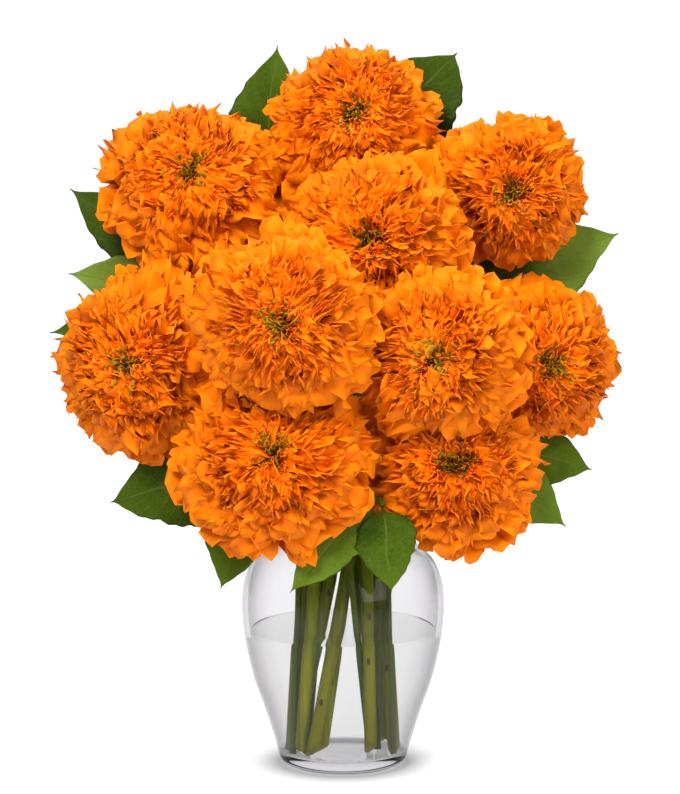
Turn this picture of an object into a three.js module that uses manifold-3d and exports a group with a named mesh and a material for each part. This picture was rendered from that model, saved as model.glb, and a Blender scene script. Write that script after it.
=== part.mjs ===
// Bouquet of ten African marigolds with leafy filler sprigs, standing in water in a clear glass vase.
// Millimetres, +Z up. The origin is the centre of the vase's flat foot, and the blooms face along -Y.

import * as THREE from 'three';
import { mergeVertices } from 'three/addons/utils/BufferGeometryUtils.js';
import Module from 'manifold-3d';

const wasm = await Module();
wasm.setup();

// Clearance between pieces that lie against each other
const GAP = 0.3;

// Vase: outer radius at each height, wall, and the thick glass bottom
const VASE_OUTLINE = [
  [29.0, 0.0], [32.8, 2.6], [34.8, 9.0], [40.6, 28.0], [47.0, 46.0], [51.4, 66.0], [53.0, 84.0],
  [51.8, 97.0], [47.4, 108.0], [39.8, 115.5], [36.6, 120.5], [37.2, 126.0], [38.8, 130.0],
];
const VASE_WALL = 3.0;
const VASE_FLOOR = 7.0;
const FLOOR_ROUND = 2.6;
const VASE_SIDES = 28;
const RIM_CROWN = 1.2;

// Water: its level above the table, and its clearance to the sloping glass
const WATER_LEVEL = 72.0;
const WATER_CLEARANCE = 0.5;

// Stems: straight from the vase's floor, where they stand in two groups at its sides, to its neck
const STEM_RADIUS = 3.2;
const STEM_SIDES = 7;
const STEM_FOOT = 7.9;
const NECK_HEIGHT = 119.0;
const NODE_RADIUS = 4.3;
const NODE_HALF_LENGTH = 5.0;
const BEND_STEPS = 6;
const RISE_SHARE = 0.45;
const BEND_SHARE = 0.35;
const BEND_REACH = 30;

// Calyx: the green cup under each head
const CALYX_LENGTH = 19.0;
const CALYX_RADIUS = 9.2;
const CALYX_OUTLINE = [[0.2, 0.66], [0.6, 0.92], [1, 1]];

// Heads: petals in six layers, all sizes as shares of the head's radius
const HEAD_BACK = 0.33;
const SEAT_RADIUS = 0.2;
const BACK_SIDES = 11;
const BACK_BULGE_RADIUS = 0.62;
const BACK_BULGE_HEIGHT = -0.21;
const PETAL_LAYERS = [
  { petals: 11, points: 4, rim: 1.0, rimHeight: -0.06, crease: 0.8, creaseHeight: 0.03, notch: 0.15 },
  { petals: 11, points: 4, rim: 0.93, rimHeight: 0.12, crease: 0.69, creaseHeight: 0.19, notch: 0.14 },
  { petals: 11, points: 4, rim: 0.81, rimHeight: 0.27, crease: 0.57, creaseHeight: 0.32, notch: 0.13 },
  { petals: 9, points: 3, rim: 0.68, rimHeight: 0.4, crease: 0.46, creaseHeight: 0.42, notch: 0.13 },
  { petals: 9, points: 3, rim: 0.55, rimHeight: 0.49, crease: 0.35, creaseHeight: 0.47, notch: 0.11 },
  { petals: 9, points: 3, rim: 0.42, rimHeight: 0.55, crease: 0.235, creaseHeight: 0.48, notch: 0.1 },
];
const PETAL_REACH_SPREAD = 0.035;
const PETAL_LIFT_SPREAD = 0.02;
const PETAL_SHOULDER = 0.06;
const RIM_WAVE = 0.018;

// Eyes: a cushion of unopened florets in the hollow of each head, as shares of the head's radius
const EYE_RADIUS = 0.205;
const EYE_CLEARANCE = 0.01;
const EYE_FLOOR = 0.35;
const EYE_SIDES = 12;
const EYE_EDGE_HEIGHT = 0.44;
const EYE_MIDDLE_HEIGHT = 0.485;
const EYE_CENTRE_HEIGHT = 0.46;
const FLORET_RISE = 0.03;
const FLORET_DIP = 0.015;

// Each bloom: centre of its widest ring, radius, how far it tilts up and turns to the right in degrees,
// where its stem stands on the floor and passes the neck, and the heights of swollen nodes between them
const BLOOMS = [
  { centre: [6, 41, 331], radius: 48.5, tilt: 25, turn: -2,
    foot: [19.8, 14.1], neck: [3.7, 23.5], nodes: [] },
  { centre: [-80.5, 20, 302], radius: 49.5, tilt: 27, turn: 3,
    foot: [-20.9, 11.7], neck: [-13.6, 15.5], nodes: [88] },
  { centre: [87, 22, 300], radius: 43, tilt: 2, turn: 0,
    foot: [22.9, 7.6], neck: [13.5, 15.8], nodes: [] },
  { centre: [18, -9, 275], radius: 50, tilt: 11, turn: -13,
    foot: [-11, -8.7], neck: [4.7, 7.1], nodes: [] },
  { centre: [-103, -9, 212.5], radius: 51, tilt: 6, turn: -22,
    foot: [-25.8, 2], neck: [-20.1, -0.2], nodes: [] },
  { centre: [-28, -70.5, 241.5], radius: 47.5, tilt: 7, turn: -4,
    foot: [-24.7, -4.9], neck: [-2.5, -7.5], nodes: [65] },
  { centre: [50, -52.5, 224.5], radius: 46.5, tilt: 1, turn: -13,
    foot: [-15.9, -18.8], neck: [4.8, -9.3], nodes: [] },
  { centre: [101.5, 16, 210], radius: 46.5, tilt: 3, turn: 18,
    foot: [25.7, -3.1], neck: [19.4, 4.5], nodes: [85] },
  { centre: [-36.5, -53, 166.5], radius: 51.5, tilt: 23, turn: -1,
    foot: [-21.4, -14.4], neck: [-13.6, -18.8], nodes: [] },
  { centre: [58, -30, 158.5], radius: 46, tilt: 22, turn: -3,
    foot: [14, -10.4], neck: [12, -16.2], nodes: [] },
];

// Leaves: thickness, fold along the midrib, arch along the length, and the stalk's share of the length
const LEAF_THICKNESS = 0.9;
const LEAF_FOLD = 0.22;
const LEAF_ARCH = 0.09;
const LEAF_STALK = 0.1;
const STALK_HALF_WIDTH = 1.1;
const LEAF_TIP_HALF_WIDTH = 0.35;
const LEAF_WAVE = 0.05;
const LEAF_STATIONS = [0, 0.1, 0.22, 0.4, 0.6, 0.81, 1];
const OVAL_RISE = 0.7;
const OVAL_FALL = 0.85;

// Sprigs: thin stems, and the ways in which their leaves look
const SPRIG_FOOT_RADIUS = 1.8;
const SPRIG_END_RADIUS = 1.3;
const SPRIG_SIDES = 5;
const SPRIG_STEPS = 5;
const FRONT = [0, -1, 0.45];
const BACK = [0, 1, 0.5];

// Each sprig: where its stem stands on the floor, passes the neck and ends, and its leaves by their
// place along the upper stem, tip, greatest width and the way their upper side looks
const SPRIGS = [
  { name: 'sprig_top_left', foot: [-17.7, 18.4], neck: [-8.3, 23.4], end: [-44, 74, 288], leaves: [
    { at: 1, tip: [-35, 76, 373], width: 44, faces: FRONT },
    { at: 0.82, tip: [-90, 90, 286], width: 40, faces: BACK },
    { at: 0.6, tip: [-26, 112, 232], width: 42, faces: BACK },
  ] },
  { name: 'sprig_top_right', foot: [17.5, -0.3], neck: [7.8, 18.1], end: [26, 78, 304], leaves: [
    { at: 1, tip: [61, 76, 369], width: 56, faces: FRONT },
    { at: 0.82, tip: [88, 104, 262], width: 40, faces: BACK },
    { at: 0.66, tip: [18, 118, 296], width: 40, faces: BACK },
  ] },
  { name: 'sprig_left', foot: [-25.9, 7.8], neck: [-21.1, 9.5], end: [-72, 42, 240], leaves: [
    { at: 1, tip: [-145, 54, 298], width: 40, faces: FRONT },
    { at: 0.9, tip: [-144, 24, 256], width: 42, faces: FRONT },
    { at: 0.8, tip: [-156, 46, 222], width: 34, faces: FRONT },
  ] },
  { name: 'sprig_right', foot: [25.3, 2.6], neck: [21.6, 13.8], end: [76, 56, 238], leaves: [
    { at: 1, tip: [146, 46, 275], width: 46, faces: FRONT },
    { at: 0.9, tip: [102, 52, 290], width: 34, faces: FRONT },
    { at: 0.6, tip: [112, 84, 200], width: 42, faces: BACK },
  ] },
  { name: 'sprig_low_left', foot: [-25.2, -10.4], neck: [-22.5, -12.9], end: [-56, -2, 152], leaves: [
    { at: 1, tip: [-121, -6, 139.5], width: 46, faces: FRONT },
    { at: 0.75, tip: [-63, -34, 99], width: 38, faces: FRONT },
    { at: 0.5, tip: [-96, 48, 158], width: 44, faces: BACK },
  ] },
  { name: 'sprig_low_right', foot: [25.3, -8.9], neck: [23, -3.4], end: [70, 33, 163], leaves: [
    { at: 1, tip: [132, 32, 150.5], width: 40, faces: FRONT },
    { at: 0.8, tip: [117, 6, 124.5], width: 42, faces: FRONT },
    { at: 0.5, tip: [88, 72, 140], width: 42, faces: BACK },
  ] },
  { name: 'sprig_front', foot: [13.4, 2.9], neck: [2.4, -24.4], end: [20, -43, 144], leaves: [
    { at: 1, tip: [24.5, -62, 103], width: 31, faces: FRONT },
    { at: 0.8, tip: [-27, -58, 102], width: 30, faces: FRONT },
  ] },
  { name: 'sprig_back', foot: [-19.1, -1.6], neck: [-7.5, 9.2], end: [-18, 62, 170], leaves: [
    { at: 1, tip: [-66, 92, 214], width: 44, faces: BACK },
    { at: 0.85, tip: [34, 96, 178], width: 44, faces: BACK },
    { at: 0.6, tip: [-34, 92, 122], width: 42, faces: BACK },
  ] },
];

const GLASS = { color: 0xdfe4e6, roughness: 0.05, metalness: 0, transparent: true, opacity: 0.35 };
const WATER = { color: 0xcfd6d4, roughness: 0.05, metalness: 0, transparent: true, opacity: 0.45 };
const PETAL_ORANGE = { color: 0xff7a0c, roughness: 0.6, metalness: 0 };
const EYE_OLIVE = { color: 0x8a7a16, roughness: 0.75, metalness: 0 };
const STEM_GREEN = { color: 0x6f8f2e, roughness: 0.5, metalness: 0 };
const LEAF_GREEN = { color: 0x2f6b25, roughness: 0.45, metalness: 0 };

const bouquet = new THREE.Group();
bouquet.name = 'marigold_bouquet';

function addPiece(name, geometry, finish) {
  const mesh = new THREE.Mesh(geometry, new THREE.MeshStandardMaterial(finish));
  mesh.name = name;
  bouquet.add(mesh);
}

// Repeatable random numbers from 0 to 1, so every bloom keeps its own shape
function seededRandom(seed) {
  let state = seed;
  return () => {
    state = (state + 0x6d2b79f5) | 0;
    let mixed = Math.imul(state ^ (state >>> 15), 1 | state);
    mixed = (mixed + Math.imul(mixed ^ (mixed >>> 7), 61 | mixed)) ^ mixed;
    return ((mixed ^ (mixed >>> 14)) >>> 0) / 4294967296;
  };
}

function spread(random, amount) {
  return (random() * 2 - 1) * amount;
}

// Plain meshes and solids for joining and cutting
function positionsOnly(geometry) {
  const plain = geometry.clone();
  plain.deleteAttribute('normal');
  plain.deleteAttribute('uv');
  return mergeVertices(plain, 1e-4);
}

function solidOf(geometry) {
  const merged = positionsOnly(geometry);
  return new wasm.Manifold(new wasm.Mesh({
    numProp: 3,
    vertProperties: new Float32Array(merged.attributes.position.array),
    triVerts: new Uint32Array(merged.index.array),
  }));
}

function geometryOf(solid) {
  const mesh = solid.getMesh();
  const geometry = new THREE.BufferGeometry();
  geometry.setAttribute('position', new THREE.BufferAttribute(mesh.vertProperties, 3));
  geometry.setIndex(new THREE.BufferAttribute(mesh.triVerts, 1));
  geometry.computeVertexNormals();
  return geometry;
}

function geometryFrom(points, faces) {
  const coordinates = points.flatMap((point) => point.toArray());
  const geometry = new THREE.BufferGeometry();
  geometry.setAttribute('position', new THREE.Float32BufferAttribute(coordinates, 3));
  geometry.setIndex(faces);
  geometry.computeVertexNormals();
  return geometry;
}

// A closed skin through rings of points, each ring running the same way round, with a pole at each end.
// Neighbouring rings may differ in their number of points: the next face always takes the nearer turn.
function skinOverRings(rings, firstPole, lastPole) {
  const points = [firstPole, lastPole];
  const faces = [];
  const numbered = rings.map((ring) => ring.map((entry) => {
    points.push(entry.point);
    return { index: points.length - 1, turn: entry.turn };
  }));
  const turnAfter = (ring, step) => ring[step % ring.length].turn + Math.floor(step / ring.length);
  const at = (ring, step) => ring[step % ring.length].index;

  const first = numbered[0];
  for (let i = 0; i < first.length; i += 1) {
    faces.push(0, at(first, i + 1), at(first, i));
  }
  for (let k = 0; k + 1 < numbered.length; k += 1) {
    const lower = numbered[k];
    const upper = numbered[k + 1];
    let i = 0;
    let j = 0;
    while (i < lower.length || j < upper.length) {
      const lowerFirst = turnAfter(lower, i + 1) <= turnAfter(upper, j + 1);
      if (j === upper.length || (i < lower.length && lowerFirst)) {
        faces.push(at(lower, i), at(lower, i + 1), at(upper, j));
        i += 1;
      } else {
        faces.push(at(lower, i), at(upper, j + 1), at(upper, j));
        j += 1;
      }
    }
  }
  const last = numbered[numbered.length - 1];
  for (let j = 0; j < last.length; j += 1) {
    faces.push(at(last, j), at(last, j + 1), 1);
  }
  return geometryFrom(points, faces);
}

// One point of a ring round +Z: turn is its share of a full circle
function ringEntry(turn, radius, height) {
  const wrapped = turn - Math.floor(turn);
  const angle = wrapped * 2 * Math.PI;
  const point = new THREE.Vector3(radius * Math.cos(angle), radius * Math.sin(angle), height);
  return { turn: wrapped, point };
}

function evenRing(sides, radius, height) {
  return Array.from({ length: sides }, (_, i) => ringEntry(i / sides, radius, height));
}

// A round stem along a line of points, with its own radius at each point
function sweptStem(points, radii, sides) {
  const directions = points.map((point, i) => {
    const before = points[Math.max(i - 1, 0)];
    const after = points[Math.min(i + 1, points.length - 1)];
    return after.clone().sub(before).normalize();
  });
  let side = new THREE.Vector3(1, 0, 0).cross(directions[0]).normalize();
  const rings = points.map((point, i) => {
    side = side.clone().addScaledVector(directions[i], -side.dot(directions[i])).normalize();
    const other = directions[i].clone().cross(side);
    return evenRing(sides, radii[i], 0).map(({ turn, point: flat }) => ({
      turn,
      point: point.clone().addScaledVector(side, flat.x).addScaledVector(other, flat.y),
    }));
  });
  return skinOverRings(rings, points[0], points[points.length - 1]);
}

// Vase and water
function latheAboutZ(profile) {
  const outline = profile.map(([radius, height]) => new THREE.Vector2(radius, height));
  const geometry = new THREE.LatheGeometry(outline, VASE_SIDES);
  geometry.rotateX(Math.PI / 2);
  return geometry;
}

// Radius of the vase's inner wall at each height of the outline above the floor
function innerOutline() {
  const aboveFloor = VASE_OUTLINE.filter(([, height]) => height > VASE_FLOOR);
  return aboveFloor.map(([radius, height]) => [radius - VASE_WALL, height]);
}

function makeVase() {
  const [rimRadius, rimHeight] = VASE_OUTLINE[VASE_OUTLINE.length - 1];
  const inner = innerOutline();
  const profile = [
    [0, 0],
    ...VASE_OUTLINE,
    [rimRadius - VASE_WALL / 2, rimHeight + RIM_CROWN],
    ...inner.reverse(),
    [inner[inner.length - 1][0] - FLOOR_ROUND, VASE_FLOOR],
    [0, VASE_FLOOR],
  ];
  addPiece('vase', latheAboutZ(profile), GLASS);
}

function makeWater(holes) {
  const wall = innerOutline();
  const below = wall.filter(([, height]) => height < WATER_LEVEL);
  const [lowRadius, lowHeight] = below[below.length - 1];
  const [highRadius, highHeight] = wall[below.length];
  const levelRadius = THREE.MathUtils.mapLinear(WATER_LEVEL, lowHeight, highHeight, lowRadius, highRadius);
  const profile = [
    [0, VASE_FLOOR + GAP],
    [below[0][0] - FLOOR_ROUND - WATER_CLEARANCE, VASE_FLOOR + GAP],
    ...below.map(([radius, height]) => [radius - WATER_CLEARANCE, height]),
    [levelRadius - WATER_CLEARANCE, WATER_LEVEL],
    [0, WATER_LEVEL],
  ];
  let water = solidOf(latheAboutZ(profile));
  for (const hole of holes) {
    water = water.subtract(solidOf(hole));
  }
  addPiece('water', geometryOf(water), WATER);
}

// The hole that a stem leaves in the water: its own shape with the clearance added
function waterHole(line, radii, sides) {
  const start = line[0].clone().addScaledVector(line[1].clone().sub(line[0]).normalize(), -STEM_FOOT);
  return sweptStem([start, ...line], [radii[0] + GAP, ...radii.map((radius) => radius + GAP)], sides);
}

// The free edge of one layer of petals: a deep notch between neighbours, and a reach of its own for each
function petalRim(layer, number, headRadius, random) {
  const stagger = number % 2 === 0 ? 0 : 0.5;
  const ring = [];
  for (let petal = 0; petal < layer.petals; petal += 1) {
    const reach = spread(random, PETAL_REACH_SPREAD);
    const lift = spread(random, PETAL_LIFT_SPREAD);
    for (let point = 0; point < layer.points; point += 1) {
      const turn = (petal + point / layer.points + stagger) / layer.petals;
      const shoulder = Math.abs(point / layer.points - 0.5) * PETAL_SHOULDER;
      const share = point === 0 ? layer.rim - layer.notch : layer.rim + reach - shoulder;
      const wave = spread(random, RIM_WAVE);
      const height = layer.rimHeight + (point === 0 ? -RIM_WAVE : lift + wave);
      ring.push(ringEntry(turn, headRadius * share, headRadius * height));
    }
  }
  return ring.sort((a, b) => a.turn - b.turn);
}

// The crease from which the next layer grows, staggered by half a petal
function petalCrease(layer, number, headRadius, random) {
  const stagger = number % 2 === 0 ? 0.5 : 0;
  const ring = [];
  for (let step = 0; step < layer.petals * layer.points; step += 1) {
    const turn = (step / layer.points + stagger) / layer.petals;
    const share = layer.crease + spread(random, RIM_WAVE / 2);
    ring.push(ringEntry(turn, headRadius * share, headRadius * layer.creaseHeight));
  }
  return ring.sort((a, b) => a.turn - b.turn);
}

function makeHeadGeometry(radius, random) {
  const rings = [
    evenRing(BACK_SIDES, radius * SEAT_RADIUS, -radius * HEAD_BACK),
    evenRing(2 * BACK_SIDES, radius * BACK_BULGE_RADIUS, radius * BACK_BULGE_HEIGHT),
  ];
  PETAL_LAYERS.forEach((layer, number) => {
    rings.push(petalRim(layer, number, radius, random));
    rings.push(petalCrease(layer, number, radius, random));
  });
  rings.push(evenRing(EYE_SIDES, radius * (EYE_RADIUS + EYE_CLEARANCE), radius * EYE_FLOOR));
  const back = new THREE.Vector3(0, 0, -radius * HEAD_BACK);
  const eyeSeat = new THREE.Vector3(0, 0, radius * EYE_FLOOR);
  return skinOverRings(rings, back, eyeSeat);
}

// A low cushion of unopened florets, which rise and dip in turn round each ring
function makeEyeGeometry(radius) {
  const floor = radius * EYE_FLOOR + GAP;
  const floretRing = (share, height) => evenRing(EYE_SIDES, radius * share, 0).map((entry, i) => {
    entry.point.z = radius * (height + (i % 2 === 0 ? FLORET_RISE : -FLORET_DIP));
    return entry;
  });
  const rings = [
    evenRing(EYE_SIDES, radius * (EYE_RADIUS - EYE_CLEARANCE), floor),
    floretRing(EYE_RADIUS - EYE_CLEARANCE, EYE_EDGE_HEIGHT),
    floretRing(EYE_RADIUS / 2, EYE_MIDDLE_HEIGHT),
  ];
  const bottom = new THREE.Vector3(0, 0, floor);
  const top = new THREE.Vector3(0, 0, radius * EYE_CENTRE_HEIGHT);
  return skinOverRings(rings, bottom, top);
}

function placeAtFace(geometry, centre, face) {
  const turned = new THREE.Quaternion().setFromUnitVectors(new THREE.Vector3(0, 0, 1), face);
  geometry.applyQuaternion(turned);
  geometry.translate(centre.x, centre.y, centre.z);
  return geometry;
}

function faceOf(bloom) {
  const tilt = THREE.MathUtils.degToRad(bloom.tilt);
  const turn = THREE.MathUtils.degToRad(bloom.turn);
  return new THREE.Vector3(
    Math.sin(turn) * Math.cos(tilt),
    -Math.cos(turn) * Math.cos(tilt),
    Math.sin(tilt),
  );
}

// A stem's upper part: a smooth bend from the neck into the direction that its end looks
function upperCurve(foot, neck, end, endDirection) {
  const leaving = neck.clone().sub(foot).normalize();
  const reach = end.distanceTo(neck);
  return new THREE.CubicBezierCurve3(
    neck,
    neck.clone().addScaledVector(leaving, reach * RISE_SHARE),
    end.clone().addScaledVector(endDirection, -Math.min(BEND_REACH, reach * BEND_SHARE)),
    end,
  );
}

function makeBloom(bloom, number, holes) {
  const label = String(number).padStart(2, '0');
  const random = seededRandom(100 + number);
  const centre = new THREE.Vector3(...bloom.centre);
  const face = faceOf(bloom);
  const head = makeHeadGeometry(bloom.radius, random);
  const eye = makeEyeGeometry(bloom.radius);
  addPiece(`bloom_${label}`, placeAtFace(head, centre, face), PETAL_ORANGE);
  addPiece(`eye_${label}`, placeAtFace(eye, centre, face), EYE_OLIVE);

  const foot = new THREE.Vector3(...bloom.foot, STEM_FOOT);
  const neck = new THREE.Vector3(...bloom.neck, NECK_HEIGHT);
  const calyxTop = centre.clone().addScaledVector(face, -bloom.radius * HEAD_BACK - GAP);
  const calyxFoot = calyxTop.clone().addScaledVector(face, -CALYX_LENGTH);
  const onStraight = (height) => foot.clone().lerp(neck, (height - STEM_FOOT) / (NECK_HEIGHT - STEM_FOOT));
  const line = [foot];
  const radii = [STEM_RADIUS];
  for (const height of bloom.nodes) {
    line.push(...[-NODE_HALF_LENGTH, 0, NODE_HALF_LENGTH].map((offset) => onStraight(height + offset)));
    radii.push(STEM_RADIUS, NODE_RADIUS, STEM_RADIUS);
  }
  line.push(neck);
  radii.push(STEM_RADIUS);
  holes.push(waterHole(line, radii, STEM_SIDES));

  const bend = upperCurve(foot, neck, calyxFoot, face).getPoints(BEND_STEPS).slice(1);
  const cup = CALYX_OUTLINE.map(([share]) => calyxFoot.clone().addScaledVector(face, CALYX_LENGTH * share));
  const points = [...line, ...bend, ...cup];
  const allRadii = [
    ...radii,
    ...bend.map(() => STEM_RADIUS),
    ...CALYX_OUTLINE.map(([, width]) => CALYX_RADIUS * width),
  ];
  addPiece(`stem_${label}`, sweptStem(points, allRadii, STEM_SIDES), STEM_GREEN);
}

// Leaves: a pointed oval blade folded along its midrib, arched, with a gently waved edge
function bladeHalfWidth(share, width) {
  if (share <= LEAF_STALK) {
    return STALK_HALF_WIDTH;
  }
  const along = (share - LEAF_STALK) / (1 - LEAF_STALK);
  const oval = (place) => (place ** OVAL_RISE) * ((1 - place) ** OVAL_FALL);
  const widest = OVAL_RISE / (OVAL_RISE + OVAL_FALL);
  const least = along < widest ? STALK_HALF_WIDTH : LEAF_TIP_HALF_WIDTH;
  return Math.max(oval(along) / oval(widest) * width / 2, least);
}

function makeLeafGeometry(base, tip, width, faces) {
  const along = tip.clone().sub(base);
  const length = along.length();
  const side = along.clone().cross(new THREE.Vector3(...faces)).normalize();
  const up = side.clone().cross(along).normalize();
  const rings = LEAF_STATIONS.map((share, station) => {
    const half = bladeHalfWidth(share, width);
    const rib = base.clone().addScaledVector(along, share);
    rib.addScaledVector(up, length * LEAF_ARCH * Math.sin(Math.PI * share));
    const edge = (sign) => {
      const wave = half * LEAF_WAVE * (station % 2 === 0 ? sign : -sign);
      return rib.clone().addScaledVector(side, sign * half).addScaledVector(up, half * LEAF_FOLD + wave);
    };
    const top = [edge(1), rib, edge(-1)];
    const under = top.map((point) => point.clone().addScaledVector(up, -LEAF_THICKNESS)).reverse();
    return [...top, ...under];
  });
  const points = rings.flat();
  const count = rings[0].length;
  const faceList = [];
  for (let k = 0; k + 1 < rings.length; k += 1) {
    for (let i = 0; i < count; i += 1) {
      const next = (i + 1) % count;
      const a = k * count + i;
      const b = k * count + next;
      // Quads on the two faces are split along the same diagonal, so the thin blade never crosses itself
      if (i < 3) {
        faceList.push(a, a + count, b, b, a + count, b + count);
      } else {
        faceList.push(a, a + count, b + count, a, b + count, b);
      }
    }
  }
  const last = (rings.length - 1) * count;
  faceList.push(0, 1, 4, 0, 4, 5, 1, 2, 3, 1, 3, 4);
  faceList.push(last, last + 4, last + 1, last, last + 5, last + 4);
  faceList.push(last + 1, last + 3, last + 2, last + 1, last + 4, last + 3);
  return geometryFrom(points, faceList);
}

function makeSprig(sprig, holes) {
  const foot = new THREE.Vector3(...sprig.foot, STEM_FOOT);
  const neck = new THREE.Vector3(...sprig.neck, NECK_HEIGHT);
  const end = new THREE.Vector3(...sprig.end);
  const endLeafTip = new THREE.Vector3(...sprig.leaves[0].tip);
  const curve = upperCurve(foot, neck, end, endLeafTip.sub(end).normalize());
  const points = [foot, neck, ...curve.getPoints(SPRIG_STEPS).slice(1)];
  const taper = (SPRIG_END_RADIUS - SPRIG_FOOT_RADIUS) / (points.length - 1);
  const radii = points.map((_, i) => SPRIG_FOOT_RADIUS + taper * i);
  holes.push(waterHole([foot, neck], [SPRIG_FOOT_RADIUS, SPRIG_FOOT_RADIUS], SPRIG_SIDES));
  let solid = solidOf(sweptStem(points, radii, SPRIG_SIDES));
  for (const leaf of sprig.leaves) {
    const tip = new THREE.Vector3(...leaf.tip);
    solid = solid.add(solidOf(makeLeafGeometry(curve.getPoint(leaf.at), tip, leaf.width, leaf.faces)));
  }
  addPiece(sprig.name, geometryOf(solid), LEAF_GREEN);
}

const holes = [];
makeVase();
BLOOMS.forEach((bloom, i) => makeBloom(bloom, i + 1, holes));
SPRIGS.forEach((sprig) => makeSprig(sprig, holes));
makeWater(holes);

export default bouquet;
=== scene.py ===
import math

import bpy
import numpy as np
from mathutils import Matrix, Quaternion, Vector


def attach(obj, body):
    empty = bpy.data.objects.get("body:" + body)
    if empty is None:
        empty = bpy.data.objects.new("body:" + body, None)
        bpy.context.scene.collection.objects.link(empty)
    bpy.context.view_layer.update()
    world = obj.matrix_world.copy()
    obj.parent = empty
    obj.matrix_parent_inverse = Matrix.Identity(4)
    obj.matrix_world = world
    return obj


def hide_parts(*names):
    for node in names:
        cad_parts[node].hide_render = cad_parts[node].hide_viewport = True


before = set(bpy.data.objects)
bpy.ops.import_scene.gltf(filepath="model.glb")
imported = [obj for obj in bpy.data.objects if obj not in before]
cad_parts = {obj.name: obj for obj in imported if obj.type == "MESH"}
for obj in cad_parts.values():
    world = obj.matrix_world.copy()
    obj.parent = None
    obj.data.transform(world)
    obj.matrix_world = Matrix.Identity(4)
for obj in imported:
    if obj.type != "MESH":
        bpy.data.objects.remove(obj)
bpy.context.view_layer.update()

# Sizes and places are in millimetres, as in the part's source, and the meshes are in metres
MM = 0.001
WELD = 1e-6
FINE_WELD = 1e-7

# Vase: outside outline as radius and height, then the wall, floor and rim
VASE_OUTLINE = [
    (29.0, 0.0), (32.8, 2.6), (34.8, 9.0), (40.6, 28.0), (47.0, 46.0), (51.4, 66.0), (53.0, 84.0),
    (51.8, 97.0), (47.4, 108.0), (39.8, 115.5), (36.6, 120.5), (37.2, 126.0), (38.8, 130.0),
]
OUTLINE_STEPS = 6
VASE_TURNS = 128
VASE_WALL = 3.0
VASE_FLOOR = 7.0
FLOOR_ROUND = 2.6
FLOOR_ROUND_POINTS = 6
RIM_CROWN = 1.2
RIM_POINTS = 9

# Water: its level, how far it bites into the glass, and its edge, which climbs the wall: the way in
# from the wall and the height over the level
WATER_LEVEL = 72.0
WATER_BITE = 0.15
MENISCUS_RISE = 0.15
MENISCUS = [(0.3, 0.05), (1.0, 0.0)]

# Stems: they stand in two groups on the vase's floor, pass the neck and bend to their blooms
STEM_RADIUS = 3.2
STEM_ROUNDNESS = 5
STEM_FOOT = 7.9
NECK_HEIGHT = 119.0
JOINT_RADIUS = 4.3
JOINT_HALF_LENGTH = 5.0
RISE_SHARE = 0.45
BEND_SHARE = 0.35
BEND_REACH = 30.0
STRAIGHT_POINTS = 30
BEND_POINTS = 24
STEM_TONE_STEP = 0.37

# Slanted cut at a stem's foot: its slope, its height in stem radii and its turn from stem to stem
CUT_SLOPE = 0.8
CUT_HEIGHT = 0.85
CUT_TURN = 2.1

# Where leaves were taken off: the stem's number, the height and the side that the scar is on, in
# degrees
SCARS = [
    (10, 58, -95), (10, 81, -70), (4, 45, -90), (5, 50, -75), (7, 37, -100), (6, 92, -80),
    (8, 52, -110),
]
SCAR_SIZE = (1.0, 0.45, 1.9)

# Calyx, the green cup under a bloom: height and radius up its outside and back down its hollow,
# then its ribs and pointed sepals, as shares of its length and radius
CALYX_LENGTH = 19.0
CALYX_RADIUS = 9.2
CALYX_OUTLINE = [
    (0.0, 0.36), (0.12, 0.52), (0.3, 0.76), (0.6, 0.92), (0.85, 1.0), (1.0, 1.03), (0.97, 0.90),
    (0.8, 0.6),
]
SEPALS = 9
RIB_DEPTH = 0.06
RIB_GROWTH = 3
SEPAL_HEIGHT = 0.10
SEPAL_START = 0.8
SEPAL_GROWTH = 5
SEPAL_EDGE = 0.84
CUP_OVERLAP = 2
CUP_GAP = 0.3

# Blooms: centre, radius, upward tilt and turn of the face in degrees, where the stem stands on the
# floor and passes the neck, and the heights of its joints
HEAD_BACK = 0.33
BLOOM_FIELDS = ("centre", "radius", "tilt", "turn", "foot", "neck", "joints")
BLOOMS = [dict(zip(BLOOM_FIELDS, row)) for row in [
    ((6, 41, 331), 48.5, 25, -2, (19.8, 14.1), (3.7, 23.5), ()),
    ((-80.5, 20, 302), 49.5, 27, 3, (-20.9, 11.7), (-13.6, 15.5), (88,)),
    ((87, 22, 300), 43, 2, 0, (22.9, 7.6), (13.5, 15.8), ()),
    ((18, -9, 275), 50, 11, -13, (-11, -8.7), (4.7, 7.1), ()),
    ((-103, -9, 212.5), 51, 6, -22, (-25.8, 2), (-20.1, -0.2), ()),
    ((-28, -70.5, 241.5), 47.5, 7, -4, (-24.7, -4.9), (-2.5, -7.5), (65,)),
    ((50, -52.5, 224.5), 46.5, 1, -13, (-15.9, -18.8), (4.8, -9.3), ()),
    ((101.5, 16, 210), 46.5, 3, 18, (25.7, -3.1), (19.4, 4.5), (85,)),
    ((-36.5, -53, 166.5), 51.5, 23, -1, (-21.4, -14.4), (-13.6, -18.8), ()),
    ((58, -30, 158.5), 46, 22, -3, (14, -10.4), (12, -16.2), ()),
]]

# Height of the petal rims over the bloom's centre, by their distance from its axis, as shares of
# its radius
DOME = [
    (0.0, 0.45), (0.2, 0.48), (0.3, 0.53), (0.42, 0.55), (0.55, 0.49), (0.68, 0.40), (0.81, 0.27),
    (0.93, 0.12), (1.0, -0.06),
]
GOLDEN_ANGLE = math.radians(137.508)

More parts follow.
